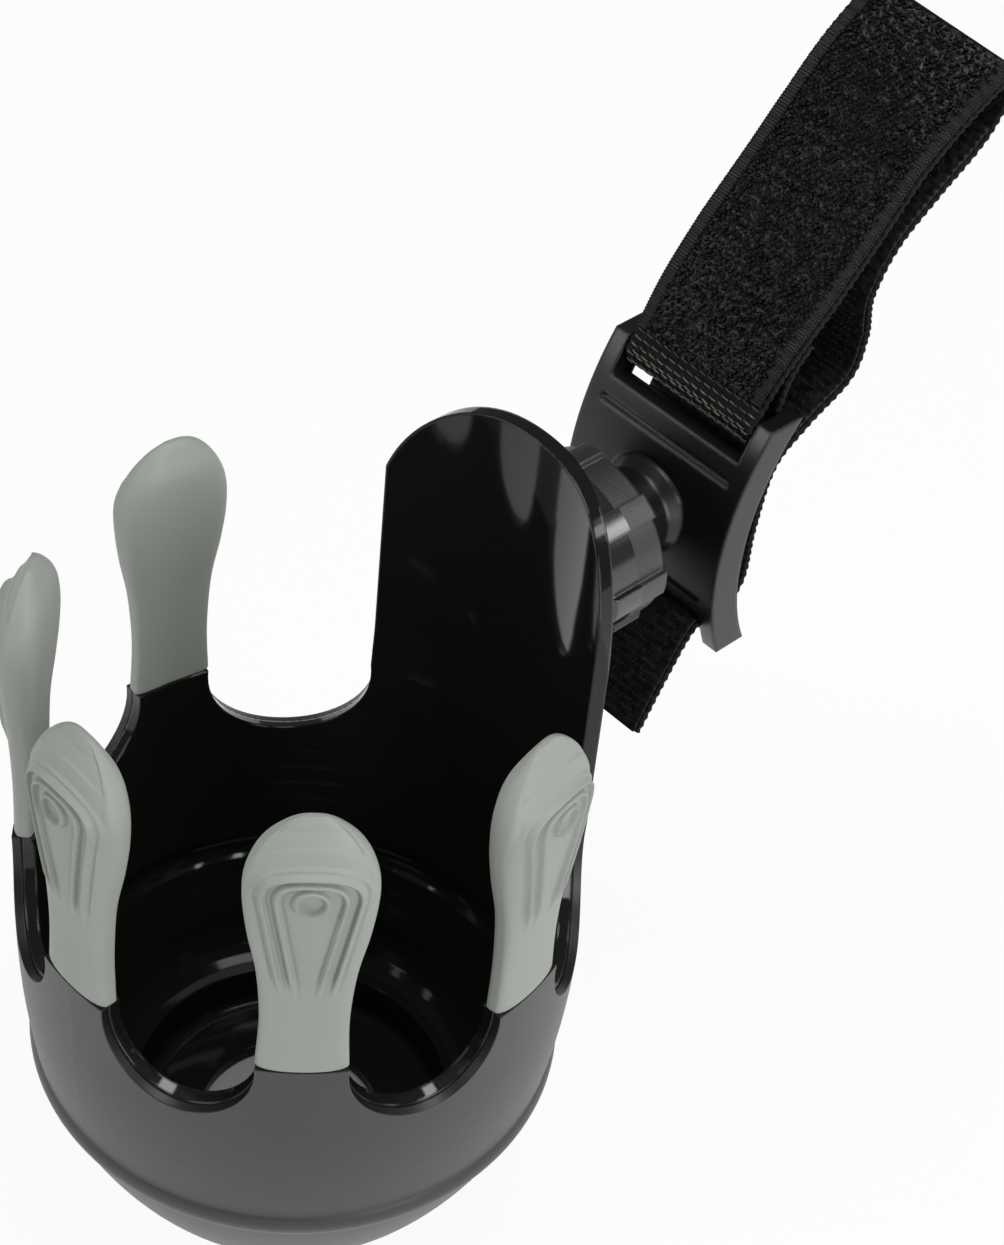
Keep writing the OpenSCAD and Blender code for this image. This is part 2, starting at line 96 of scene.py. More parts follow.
def moulded_group():
    """Moulded surface: slow drift of tone and gloss, fine mould grain, rounded edges, and a painted highlight that
    lightens the colour along them.
    """
    g, gin, gout = surface_group(
        "moulded_surface",
        [("Tone", "NodeSocketColor", (0.1, 0.1, 0.1, 1)), ("Edge Tone", "NodeSocketColor", (0.2, 0.2, 0.2, 1)),
         ("Tone Drift", "NodeSocketFloat", 0.1), ("Roughness", "NodeSocketFloat", 0.4),
         ("Roughness Drift", "NodeSocketFloat", 0.05), ("Grain Scale", "NodeSocketFloat", 4000.0),
         ("Grain Depth", "NodeSocketFloat", 0.00001), ("Edge Radius", "NodeSocketFloat", 0.0004)],
        [("Color", "NodeSocketColor"), ("Roughness", "NodeSocketFloat"), ("Normal", "NodeSocketVector")])
    place = g.nodes.new("ShaderNodeTexCoord").outputs["Object"]
    slow = noise(g, place, 45.0)
    grain = noise(g, place, gin.outputs["Grain Scale"], 3.0)
    drift = math_node(g, "MULTIPLY", math_node(g, "SUBTRACT", slow, 0.5), gin.outputs["Tone Drift"])
    bevel = g.nodes.new("ShaderNodeBevel")
    bevel.samples = 6
    wire(g, gin.outputs["Edge Radius"], bevel.inputs["Radius"])
    bump = g.nodes.new("ShaderNodeBump")
    wire(g, gin.outputs["Grain Depth"], bump.inputs["Distance"])
    wire(g, grain, bump.inputs["Height"])
    wire(g, bevel.outputs["Normal"], bump.inputs["Normal"])
    turn = g.nodes.new("ShaderNodeVectorMath")
    turn.operation = "DOT_PRODUCT"
    wire(g, bevel.outputs["Normal"], turn.inputs[0])
    wire(g, g.nodes.new("ShaderNodeNewGeometry").outputs["Normal"], turn.inputs[1])
    # Painted highlight: where the bevel normal turns away from the face's normal, the colour is mixed towards the edge
    # tone.
    edge = math_node(g, "MULTIPLY", math_node(g, "SUBTRACT", 1.0, turn.outputs["Value"]), 2.5, clamp=True)
    tint = g.nodes.new("ShaderNodeHueSaturation")
    wire(g, gin.outputs["Tone"], tint.inputs["Color"])
    wire(g, math_node(g, "ADD", 1.0, drift), tint.inputs["Value"])
    mix = g.nodes.new("ShaderNodeMix")
    mix.data_type = "RGBA"
    wire(g, edge, mix.inputs["Factor"])
    wire(g, tint.outputs["Color"], mix.inputs["A"])
    wire(g, gin.outputs["Edge Tone"], mix.inputs["B"])
    rough = math_node(g, "MULTIPLY", math_node(g, "SUBTRACT", grain, 0.5), gin.outputs["Roughness Drift"])
    wire(g, mix.outputs["Result"], gout.inputs["Color"])
    wire(g, math_node(g, "ADD", gin.outputs["Roughness"], rough), gout.inputs["Roughness"])
    wire(g, bump.outputs["Normal"], gout.inputs["Normal"])
    return g


moulded = moulded_group()


def finish_material(name, group, values, **sockets):
    """A material whose colour, roughness and normal come from a surface group."""
    material = bpy.data.materials.new(name)
    material.use_nodes = True
    tree = material.node_tree
    shader = tree.nodes["Principled BSDF"]
    surface = tree.nodes.new("ShaderNodeGroup")
    surface.node_tree = group
    for label, value in values.items():
        surface.inputs[label].default_value = value
    for label, target in (("Color", "Base Color"), ("Roughness", "Roughness"), ("Normal", "Normal")):
        wire(tree, surface.outputs[label], shader.inputs[target])
    for label, value in sockets.items():
        shader.inputs[label.replace("_", " ")].default_value = value
    return material


def dress(node, material):
    """Gives a CAD node's object one material."""
    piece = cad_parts[node]
    piece.data.materials.clear()
    piece.data.materials.append(material)


# The shell's light edge tone is a painted highlight along its rounded edges.
shell_satin = finish_material("shell_satin", moulded, {
    "Tone": shell_grey, "Edge Tone": (0.13, 0.13, 0.13, 1), "Tone Drift": 0.06, "Roughness": 0.42,
    "Roughness Drift": 0.06, "Grain Scale": 5200.0, "Grain Depth": 0.000012, "Edge Radius": 0.0004})


def paint_where(material, tone, mask):
    """Lays one plain tone over a material's colour, where the mask is 1."""
    tree = material.node_tree
    shader = tree.nodes["Principled BSDF"]
    mix = tree.nodes.new("ShaderNodeMix")
    mix.data_type = "RGBA"
    wire(tree, mask, mix.inputs["Factor"])
    wire(tree, shader.inputs["Base Color"].links[0].from_socket, mix.inputs["A"])
    mix.inputs["B"].default_value = tone
    wire(tree, mix.outputs["Result"], shader.inputs["Base Color"])


def vector_math(tree, operation, first, second=None):
    node = tree.nodes.new("ShaderNodeVectorMath")
    node.operation = operation
    wire(tree, first, node.inputs[0])
    if isinstance(second, tuple):
        node.inputs[1].default_value = second
    elif second is not None:
        wire(tree, second, node.inputs[1])
    return node.outputs["Value" if operation == "DOT_PRODUCT" else "Vector"]


def shell_masks(tree, rim_from=0.05, floor_to=0.0045):
    """The notched rim's cut face, which shows the liner's black edge, and the well's floor."""
    coords = tree.nodes.new("ShaderNodeTexCoord")
    split = tree.nodes.new("ShaderNodeSeparateXYZ")
    wire(tree, coords.outputs["Object"], split.inputs[0])
    outward = vector_math(tree, "NORMALIZE", vector_math(tree, "MULTIPLY", coords.outputs["Object"], (1, 1, 0)))
    facing = math_node(tree, "ABSOLUTE", vector_math(tree, "DOT_PRODUCT", outward, coords.outputs["Normal"]))
    rim = math_node(tree, "MULTIPLY", math_node(tree, "LESS_THAN", facing, 0.6),
                    math_node(tree, "GREATER_THAN", split.outputs["Z"], rim_from))
    upward = math_node(tree, "GREATER_THAN",
                       vector_math(tree, "DOT_PRODUCT", coords.outputs["Normal"], (0, 0, 1)), 0.9)
    return rim, math_node(tree, "MULTIPLY", upward, math_node(tree, "LESS_THAN", split.outputs["Z"], floor_to))


cut_rim, painted_light_well_floor = shell_masks(shell_satin.node_tree)
paint_where(shell_satin, (0.004, 0.004, 0.004, 1), cut_rim)
# Painted light: the up-facing floor at the bottom of the well is painted a lighter grey.
paint_where(shell_satin, well_painted_light_grey, painted_light_well_floor)
dress("shell", shell_satin)

# ---- Liner ------------------------------------------------------------------------------
# The inner cup with its tall tab: black plastic from a polished mould, one piece with the
# tongues inside the fingers and with the threaded boss. Its CAD form stays.
liner_gloss = finish_material("liner_gloss", moulded, {
    "Tone": (0.0075, 0.008, 0.0068, 1), "Edge Tone": (0.008, 0.008, 0.008, 1), "Tone Drift": 0.1,
    "Roughness": 0.065, "Roughness Drift": 0.02, "Grain Scale": 900.0, "Grain Depth": 0.000001,
    "Edge Radius": 0.0007}, Specular_IOR_Level=0.34)
dress("liner", liner_gloss)


def dull_well(material, well_z, dull, glossy):
    """Less gloss below a height, where the mould's core was left unpolished."""
    tree = material.node_tree
    split = tree.nodes.new("ShaderNodeSeparateXYZ")
    wire(tree, tree.nodes.new("ShaderNodeTexCoord").outputs["Object"], split.inputs[0])
    ramp = tree.nodes.new("ShaderNodeMapRange")
    wire(tree, split.outputs["Z"], ramp.inputs["Value"])
    ramp.inputs["From Min"].default_value, ramp.inputs["From Max"].default_value = well_z
    ramp.inputs["To Min"].default_value, ramp.inputs["To Max"].default_value = dull, glossy
    wire(tree, ramp.outputs["Result"], tree.nodes["Principled BSDF"].inputs["Specular IOR Level"])


dull_well(liner_gloss, (0.018, 0.03), 0.1, 0.36)

# ---- Clamp plate ------------------------------------------------------------------------
# The saddle plate with its cheeks, bars and neck: black plastic moulded in one, with a fine
# matt grain and softly rounded corners. Its CAD form stays.
clamp_black = (0.0055, 0.0055, 0.0053, 1)
clamp_plastic = finish_material("clamp_plastic", moulded, {
    "Tone": clamp_black, "Edge Tone": (0.014, 0.014, 0.014, 1), "Tone Drift": 0.12, "Roughness": 0.3,
    "Roughness Drift": 0.08, "Grain Scale": 4200.0, "Grain Depth": 0.00001, "Edge Radius": 0.001})
dress("clamp_plate", clamp_plastic)

# ---- Knob -------------------------------------------------------------------------------
# The union nut: the same black plastic, polished on the half next to the tab and grained on
# the half next to the plate, where the ribs are gripped. Its CAD form stays.
knob_grain_depth = 0.00007
knob_polish, knob_matt = 0.17, 0.42


# The knob's bright edge tone is a painted highlight along the edges of its ribs.
def knob_material():
    material = finish_material("knob_plastic", moulded, {
        "Tone": (0.012, 0.0125, 0.013, 1), "Edge Tone": (0.1, 0.1, 0.1, 1), "Tone Drift": 0.1,
        "Roughness Drift": 0.05, "Grain Scale": 2600.0, "Edge Radius": 0.0005}, Specular_IOR_Level=1.0)
    tree = material.node_tree
    surface = next(node for node in tree.nodes if node.type == "GROUP")
    low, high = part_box("knob")
    place = tree.nodes.new("ShaderNodeSeparateXYZ")
    wire(tree, tree.nodes.new("ShaderNodeTexCoord").outputs["Object"], place.inputs[0])
    rear_half = math_node(tree, "GREATER_THAN", place.outputs["Y"], (low.y + high.y) / 2)
    wire(tree, math_node(tree, "MULTIPLY", rear_half, knob_grain_depth), surface.inputs["Grain Depth"])
    wire(tree, math_node(tree, "MULTIPLY_ADD", rear_half, knob_matt - knob_polish, knob_polish),
         surface.inputs["Roughness"])
    return material


dress("knob", knob_material())

# ---- Swivel: flange, washer and screw ---------------------------------------------------
# Hidden in the nut: a plastic flange held on the plate's neck by a steel screw, and a rubber
# friction washer under the nut's lip. Their CAD forms stay.
dress("swivel_flange", clamp_plastic)
dress("washer", finish_material("washer_rubber", moulded, {
    "Tone": (0.02, 0.02, 0.021, 1), "Edge Tone": (0.03, 0.03, 0.03, 1), "Tone Drift": 0.1, "Roughness": 0.7,
    "Roughness Drift": 0.08, "Grain Scale": 3000.0, "Grain Depth": 0.00002, "Edge Radius": 0.0001}))
dress("flange_screw", finish_material("screw_steel", moulded, {
    "Tone": (0.56, 0.57, 0.58, 1), "Edge Tone": (0.7, 0.7, 0.7, 1), "Tone Drift": 0.06, "Roughness": 0.28,
    "Roughness Drift": 0.1, "Grain Scale": 1500.0, "Grain Depth": 0.000004, "Edge Radius": 0.0001},
    Metallic=1.0))

# ---- Fingers ----------------------------------------------------------------------------
# Five soft rubber grips, each moulded in one and pushed over a tongue of the liner. The outer
# face carries two raised arches and a ring, and ends in a soft edge under the domed top.
rim_r, wall_h = 47.0, 76.0
finger_pitch = 49.6
finger_h = 53.2
finger_root_w = 47.0 * sin(radians(17.6 / 2))
finger_neck_w, finger_head_w = 6.8, 9.9
finger_lean, finger_pad = 1.7, 2.6
finger_in = rim_r - (1.5 + 0.12 + 2.2)
finger_out = rim_r + finger_lean
finger_edge, finger_edge_share = 3.2, 0.42
side_power, face_power = 3.0, 3.4
finger_foot_round = 0.5
finger_stations = np.array([
    (0, finger_root_w, rim_r, finger_in, 6),
    (0.2, finger_neck_w, rim_r, finger_in - 0.1 * finger_pad, 5),
    (0.4, finger_neck_w + 0.7, rim_r + 0.25 * finger_lean, finger_in - 0.3 * finger_pad, 3.2),
    (0.57, finger_head_w - 0.8, rim_r + 0.65 * finger_lean, finger_in - 0.7 * finger_pad, 2.4),
    (0.71, finger_head_w, finger_out - 0.1, finger_in - finger_pad, 2.1),
    (0.81, finger_head_w - 0.3, finger_out, finger_in - 1.1 * finger_pad, 2.1),
    (0.9, finger_head_w - 2.2, finger_out - 1.2, finger_in - finger_pad, 2),
    (0.965, finger_head_w - 4.9, finger_out - 2.9, finger_in - 0.5 * finger_pad, 2),
    (1, 2.3, finger_out - 4.4, finger_in - 0.1 * finger_pad, 2),
    (1.004, 0.06, finger_out - 4.95, finger_out - 5.05, 2)])
finger_rows, finger_columns = 240, 112


def through(points, place):
    """Points of a smooth curve through a list, at places counted in points from its start."""
    points = np.asarray(points, float)
    i = np.clip(np.floor(place).astype(int), 0, len(points) - 2)
    t = (place - i)[:, None]
    p0, p1 = points[np.maximum(i - 1, 0)], points[i]
    p2, p3 = points[i + 1], points[np.minimum(i + 2, len(points) - 1)]
    return 0.5 * (2 * p1 + (p2 - p0) * t + (2 * p0 - 5 * p1 + 4 * p2 - p3) * t ** 2
                  + (3 * p1 - p0 - 3 * p2 + p3) * t ** 3)


def skin_quads(rows, around):
    """Quads of a closed skin: rings of an even number of points, and a ladder over each end."""
    grid = np.arange(rows * around).reshape(rows, around)
    ahead = np.roll(grid, -1, axis=1)
    sides = np.stack([grid[:-1], ahead[:-1], ahead[1:], grid[1:]], -1).reshape(-1, 4)
    i = np.arange(around // 2 - 1)
    ladder = np.stack([i, around - 1 - i, around - 2 - i, i + 1], -1)
    return np.concatenate([sides, ladder, ladder[:, ::-1] + (rows - 1) * around])


def merged(parts):
    """Several (points, quads) as one."""
    starts = np.cumsum([0] + [len(points) for points, _ in parts[:-1]])
    return (np.concatenate([points for points, _ in parts]),
            np.concatenate([quads + start for (_, quads), start in zip(parts, starts)]))


def new_piece(name, points, quads, material, body):
    """A smooth mesh from points in millimetres, facing outwards, that rides on a body."""
    a, b, c, d = (points[quads[:, k]] for k in range(4))
    volume = np.einsum("ij,ij->i", a, np.cross(b, c)).sum() + np.einsum("ij,ij->i", a, np.cross(c, d)).sum()
    quads = quads if volume > 0 else quads[:, ::-1]
    mesh = bpy.data.meshes.new(name)
    mesh.vertices.add(len(points))
    mesh.vertices.foreach_set("co", (points * MM).astype(np.float32).ravel())
    mesh.loops.add(quads.size)
    mesh.loops.foreach_set("vertex_index", np.ascontiguousarray(quads, np.int32).ravel())
    mesh.polygons.add(len(quads))
    mesh.polygons.foreach_set("loop_start", np.arange(0, quads.size, 4, dtype=np.int32))
    mesh.update(calc_edges=True)
    mesh.shade_smooth()
    mesh.materials.append(material)
    piece = bpy.data.objects.new(name, mesh)
    bpy.context.collection.objects.link(piece)
    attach(piece, body)
    return piece


def bump(distance, half_width):
    """A round-topped ridge: 1 on its line and 0 from half_width away."""
    return np.clip(1 - (distance / half_width) ** 2, 0, 1)


def arch(x, z, spring, top, half_top, foot, half_foot, power):
    """Signed distance outwards from an arch whose legs taper below its spring."""
    rise = np.maximum(z - spring, 0)
    reach = np.hypot(x, rise) + 1e-6
    share = ((np.abs(x) / half_top) ** power + (rise / (top - spring)) ** power) ** (1 / power)
    crown = (share - 1) / np.maximum(share, 0.05) * reach
    legs = np.abs(x) - np.interp(z, [foot, spring], [half_foot, half_top])
    return np.where(z > spring, crown, legs)


# Ring, arches and the two soft edges of the face, in mm across and above the wall
ring_z, ring_mid_r, ring_half = 40.8, 2.35, 0.45
ring_rise, rib_rise, rib_half = 1.0, 0.8, 0.5
rib_foot, rib_fade = 19.0, 5.0
inner_rib = dict(spring=40.5, top=44.2, half_top=5.1, foot=rib_foot, half_foot=1.8, power=2.6)
outer_rib = dict(spring=40.5, top=45.4, half_top=7.35, foot=rib_foot, half_foot=3.9, power=2.6)
face_edge = dict(spring=38.0, top=46.6, half_top=9.6, foot=0.0, half_foot=9.6, power=2.4)
parting_line = dict(spring=38.0, top=49.2, half_top=10.8, foot=0.0, half_foot=10.8, power=2.4)
face_step, face_roll = 0.55, 0.5
dome_step, dome_roll = 0.3, 0.25
groove_depth, groove_half = 0.22, 0.4


def ridge(distance, half_width):
    """A ridge between two shallow grooves."""
    aside = np.abs(distance) - half_width - groove_half / 2
    return bump(distance, half_width) - groove_depth * bump(aside, groove_half)


def step_down(distance, roll):
    """0 inside an outline, and -1 from half a roll outside it."""
    share = np.clip(0.5 - distance / roll, 0, 1)
    return share * share * (3 - 2 * share) - 1


def finger_relief(x, z):
    fade = np.clip((z - rib_foot + 1) / rib_fade, 0, 1)
    ribs = sum(ridge(arch(x, z, **rib), rib_half) for rib in (inner_rib, outer_rib))
    ring = bump(np.hypot(x, z - ring_z) - ring_mid_r, ring_half)
    steps = (face_step * step_down(arch(x, z, **face_edge), face_roll)
             + dome_step * step_down(arch(x, z, **parting_line), dome_roll))
    return ring_rise * ring + rib_rise * fade * ribs + steps * (z > 30)


def finger_skin():
    places = np.linspace(0, len(finger_stations) - 1, finger_rows)
    rows = through(finger_stations, places)
    foot = np.array([0, 0.15, 0.4, 0.7]) * finger_foot_round
    rows = np.concatenate([np.tile(rows[:1], (len(foot), 1)), rows[rows[:, 0] * finger_h > finger_foot_round]])
    rows[:len(foot), 0] = foot / finger_h
    height = rows[:, 0] * finger_h
    inset = finger_foot_round * (1 - np.sqrt(1 - np.clip(1 - height / finger_foot_round, 0, 1) ** 2))
    half, outer, inner = rows[:, 1] - inset, rows[:, 2] - inset, rows[:, 3] + inset
    edge = np.minimum(finger_edge, finger_edge_share * (outer - inner))
    middle = outer - edge
    side = np.sin((np.arange(finger_columns) + 0.5) / finger_columns * pi - pi / 2)
    bulge = 1 - np.abs(side) ** side_power
    x = half[:, None] * side
    z = np.broadcast_to(height[:, None], x.shape)
    thick = np.clip((outer - inner - 1) / 3, 0, 1)[:, None] * np.clip(3 * bulge, 0, 1)
    face = middle[:, None] + edge[:, None] * bulge ** (1 / face_power) + thick * finger_relief(x, z)
    pad = middle[:, None] - (middle - inner)[:, None] * bulge ** (1 / rows[:, 4:5])
    x, z, r = np.hstack([x, x[:, ::-1]]), np.hstack([z, z]), np.hstack([face, pad[:, ::-1]])
    points = np.stack([x, -np.sqrt(r * r - x * x), wall_h + z], -1)
    return points.reshape(-1, 3), skin_quads(len(rows), 2 * finger_columns)


rubber = finish_material("grip_rubber", moulded, {
    "Tone": (0.30, 0.33, 0.295, 1), "Edge Tone": (0.34, 0.37, 0.33, 1), "Tone Drift": 0.05, "Roughness": 0.55,
    "Roughness Drift": 0.06, "Grain Scale": 5200.0, "Grain Depth": 0.000015, "Edge Radius": 0.0002})
finger_points, finger_quads = finger_skin()
for node, turn in (("grip_front", 0), ("grip_front_left", -1), ("grip_front_right", 1),
                   ("grip_side_left", -2), ("grip_side_right", 2)):
    c, s = cos(radians(turn * finger_pitch)), sin(radians(turn * finger_pitch))
    turned = finger_points @ np.array([(c, s, 0), (-s, c, 0), (0, 0, 1)])
    finger = new_piece(node + "_rubber", turned, finger_quads, rubber, "holder")
    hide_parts(node)

# ---- Strap webbing ----------------------------------------------------------------------
# Woven black webbing, sewn in an eye round the plate's top bar with five rows of thread. It
# rises to a folded end, comes back down, crosses the saddle and leaves by the bottom slot.
plate_front, plate_depth, saddle_r, saddle_z = 73.0, 6.0, 44.0, 106.0
plate_up, plate_down, bar_r, bar_edge = 27.4, 18.5, 1.7, 0.7
strap_w, web_t, pile_t, hook_t = 29.0, 1.4, 1.5, 1.0
strap_twist, tape_inset, layer_gap, eye_gap = 15.0, 0.4, 0.25, 0.2
stations_a_point = 3


def bar_centre(z):
    across = saddle_r + plate_depth / 2
    return np.array([plate_front + plate_depth + saddle_r - np.sqrt(across ** 2 - (z - saddle_z) ** 2), z])


bar_top = bar_centre(saddle_z + plate_up - bar_r - bar_edge)
bar_bottom = bar_centre(saddle_z - plate_down + bar_r + bar_edge)
eye_r = bar_r + eye_gap + web_t / 2
loop_foot = np.array([plate_front + 9.2, saddle_z + 23.3])
strap_line = np.array(
    [bar_top + p for p in [(8.8, 13.4), (5.6, 9.4)]]
    + [bar_top + eye_r * np.array([cos(radians(a)), sin(radians(a))]) for a in (-18, -62, -100, -140, -180, -218)]
    + [loop_foot + p for p in [
        (5.3, 13.1), (13.8, 22.4), (22.5, 31.4), (30.5, 40), (38.6, 46.9), (47.2, 52), (50, 52.4),
        (51, 50.2), (48.9, 46.9), (44.8, 40.3), (35.8, 34.1), (27.2, 27.4), (23.2, 19.2),
        (24.6, 9.6), (22.5, 2.1), (13.1, -3.3), (6.2, -9), (3.7, -21.2)]]
    + [bar_bottom + p for p in [(6.6, 8.4), (4.6, 4.4), (-0.4, bar_r + 1.6), (-5.2, 1.2), (-10.4, -7), (-15.4, -16.4)]])
loop_lean = np.array([-0.66, 0.75]) / np.hypot(0.66, 0.75)
loop_twists = ([8, 22, 40, 52], [0, 0.55 * strap_twist, 0.4 * strap_twist, strap_twist])

fine_places = np.linspace(0, len(strap_line) - 1, 40 * (len(strap_line) - 1) + 1)
fine_line = through(strap_line, fine_places)
fine_length = np.concatenate([[0], np.cumsum(np.hypot(*np.diff(fine_line, axis=0).T))])
fine_way = np.gradient(fine_line, fine_length, axis=0)


def station_length(station):
    """How far along the strap one of part.scad's stations lies."""
    return np.interp(station / stations_a_point, fine_places, fine_length)


def strap_frame(length):
    """Middle of the strap, and its directions across, along and outwards, at lengths along it."""
    y, z = (np.interp(length, fine_length, fine_line[:, k]) for k in (0, 1))
    way = np.stack([np.zeros_like(y)] + [np.interp(length, fine_length, fine_way[:, k]) for k in (0, 1)], -1)
    turn = np.radians(np.interp(z - loop_foot[1], *loop_twists))
    across = np.stack([np.cos(turn), -np.sin(turn) * loop_lean[0], -np.sin(turn) * loop_lean[1]], -1)
    out = np.cross(across, way)
    out /= np.linalg.norm(out, axis=-1, keepdims=True)
    return np.stack([np.zeros_like(y), y, z], -1), across, np.cross(out, across), out


def band(first, last, width, low, high, pitch, relief_low, relief_high, tooth=(0.0, 1.0)):
    """A woven band between two stations. The reliefs give the height of its faces at lengths
    along it and places across it, and tooth the depth and pitch of its toothed edges."""
    start, end = station_length(first), station_length(last)
    length = np.linspace(start, end, int((end - start) / pitch))
    across_count = int(width / pitch)
    share = np.sin(np.linspace(-1, 1, across_count) * 1.45) / sin(1.45)
    half = width / 2 + tooth[0] * np.cos(2 * pi * length / tooth[1])
    u = half[:, None] * share
    s = np.broadcast_to(length[:, None], u.shape)
    rounding = np.clip((half[:, None] - np.abs(u)) / 0.4, 0, 1) ** 0.5
    top = (low + high) / 2 + ((high - low) / 2 + relief_high(s, u)) * (0.3 + 0.7 * rounding)
    bottom = (low + high) / 2 - ((high - low) / 2 + relief_low(s, u)) * (0.3 + 0.7 * rounding)
    u, lift = np.hstack([u, u[:, ::-1]]), np.hstack([top, bottom[:, ::-1]])
    middle, across, _, out = (v[:, None] for v in strap_frame(length))
    points = middle + u[..., None] * across + lift[..., None] * out
    return points.reshape(-1, 3), skin_quads(len(length), 2 * across_count)


def tubes(length, u, lift, turn, path, radius, sides=4):
    """Threads that follow a small path: each starts on the strap at (length, u), raised by lift,
    and turned about the outward direction. The path's points are (sideways, outwards)."""
    middle, across, along, out = strap_frame(length)
    base = middle + u[:, None] * across + lift[:, None] * out
    ahead = np.cos(turn)[:, None] * across + np.sin(turn)[:, None] * along
    aside = np.cross(out, ahead)
    path = np.asarray(path, float)
    way = np.gradient(path, axis=0)
    way /= np.linalg.norm(way, axis=1, keepdims=True)
    angle = (np.arange(sides) + 0.5) * 2 * pi / sides
    x = path[:, :1] - radius * way[:, 1:] * np.cos(angle)
    z = path[:, 1:] + radius * way[:, :1] * np.cos(angle)
    y = np.broadcast_to(radius * np.sin(angle), x.shape)
    points = (base[:, None, None] + x[..., None] * ahead[:, None, None] + y[..., None] * aside[:, None, None]
              + z[..., None] * out[:, None, None])
    quads = skin_quads(len(path), sides)
    steps = np.arange(len(length)) * len(path) * sides
    return points.reshape(-1, 3), (quads + steps[:, None, None]).reshape(-1, 4)


def fibre_group():
    """Textile surface: thread tones that vary from spot to spot over a fine fibre bump."""
    g, gin, gout = surface_group(
        "textile_surface",
        [("Tone", "NodeSocketColor", (0.01, 0.01, 0.01, 1)), ("Thread Tone", "NodeSocketColor", (0.04, 0.04, 0.04, 1)),
         ("Spot Scale", "NodeSocketFloat", 1200.0), ("Roughness", "NodeSocketFloat", 0.7),
         ("Roughness Drift", "NodeSocketFloat", 0.2), ("Fibre Scale", "NodeSocketFloat", 6000.0),
         ("Fibre Depth", "NodeSocketFloat", 0.00005)],
        [("Color", "NodeSocketColor"), ("Roughness", "NodeSocketFloat"), ("Normal", "NodeSocketVector")])
    place = g.nodes.new("ShaderNodeTexCoord").outputs["Object"]
    spots = noise(g, place, gin.outputs["Spot Scale"], 2.0)
    fibres = noise(g, place, gin.outputs["Fibre Scale"], 3.0)
    share = math_node(g, "MULTIPLY_ADD", spots, 2.6, -0.95, clamp=True)
    mix = g.nodes.new("ShaderNodeMix")
    mix.data_type = "RGBA"
    wire(g, share, mix.inputs["Factor"])
    wire(g, gin.outputs["Tone"], mix.inputs["A"])
    wire(g, gin.outputs["Thread Tone"], mix.inputs["B"])
    bump_node = g.nodes.new("ShaderNodeBump")
    wire(g, gin.outputs["Fibre Depth"], bump_node.inputs["Distance"])
    wire(g, fibres, bump_node.inputs["Height"])
    rough = math_node(g, "MULTIPLY", math_node(g, "SUBTRACT", spots, 0.5), gin.outputs["Roughness Drift"])
    wire(g, mix.outputs["Result"], gout.inputs["Color"])
    wire(g, math_node(g, "ADD", gin.outputs["Roughness"], rough), gout.inputs["Roughness"])
    wire(g, bump_node.outputs["Normal"], gout.inputs["Normal"])
    return g


textile = fibre_group()
webbing_fibre = finish_material("webbing_fibre", textile, {
    "Tone": (0.002, 0.002, 0.0018, 1), "Thread Tone": (0.014, 0.014, 0.0125, 1), "Spot Scale": 1300.0,
    "Roughness": 0.62, "Roughness Drift": 0.2, "Fibre Scale": 7000.0, "Fibre Depth": 0.00006},
    Specular_IOR_Level=0.12)
seam_fibre = finish_material("seam_fibre", textile, {
    "Tone": (0.03, 0.03, 0.026, 1), "Thread Tone": (0.12, 0.12, 0.105, 1), "Spot Scale": 1500.0,
    "Roughness": 0.5, "Roughness Drift": 0.2, "Fibre Scale": 9000.0, "Fibre Depth": 0.00003})
random = np.random.default_rng(7)
rib_pitch, rib_height, thread_pitch = 1.6, 0.14, 1.1


def webbing_relief(s, u):
    """Ribs across the webbing, each a row of slanted threads."""
    row = np.floor(s / rib_pitch)
    thread = (u / thread_pitch + 0.5 * row) % 1 - 0.5
    rib = (s / rib_pitch) % 1 - 0.5 + 0.16 * thread
    return rib_height * (np.exp(-(rib / 0.22) ** 2) * (0.6 + 0.4 * np.cos(2 * pi * thread)) - 0.5)


last_station = stations_a_point * (len(strap_line) - 1)
webbing_points, webbing_quads = band(0, last_station, strap_w, -web_t / 2, web_t / 2, 0.2,
                                     webbing_relief, webbing_relief, tooth=(0.13, rib_pitch))
webbing = new_piece("strap_webbing_weave", webbing_points, webbing_quads, webbing_fibre, "clamp")
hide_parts("strap_webbing")

# ---- Seam -------------------------------------------------------------------------------
# Five rows of thread through both layers of the eye, just under the pile tape, the lower two
# of them doubled. They are sewn into the webbing.
pile_first, pile_last, hook_first = 22, 40, 50
stitch_pitch, stitch_r, seam_gap, seam_pitch = 2.0, 0.17, 0.5, 1.35
stitch_path = [(-0.8, -0.2), (-0.6, 0.1), (-0.2, 0.17), (0.2, 0.17), (0.6, 0.1), (0.8, -0.2)]
slant_turn = -0.16


def seam_row(row):
    """One row of slanted stitches across the strap. The lower rows have a second thread."""
    u = np.arange(-strap_w / 2 + 1.6, strap_w / 2 - 1.2, stitch_pitch if row < 3 else stitch_pitch / 2)
    second = (np.arange(len(u)) % 2) * (row >= 3)
    turn = np.full(len(u), slant_turn)
    length = station_length(pile_first) - seam_gap - row * seam_pitch + 0.32 * second
    return tubes(length, u + random.normal(0, 0.05, len(u)), np.full(len(u), web_t / 2 + 0.05),
                 turn + random.normal(0, 0.04, len(u)), stitch_path, stitch_r, 6)


seam_points, seam_quads = merged([seam_row(row) for row in range(5)])
new_piece("eye_seam", seam_points, seam_quads, seam_fibre, "clamp")

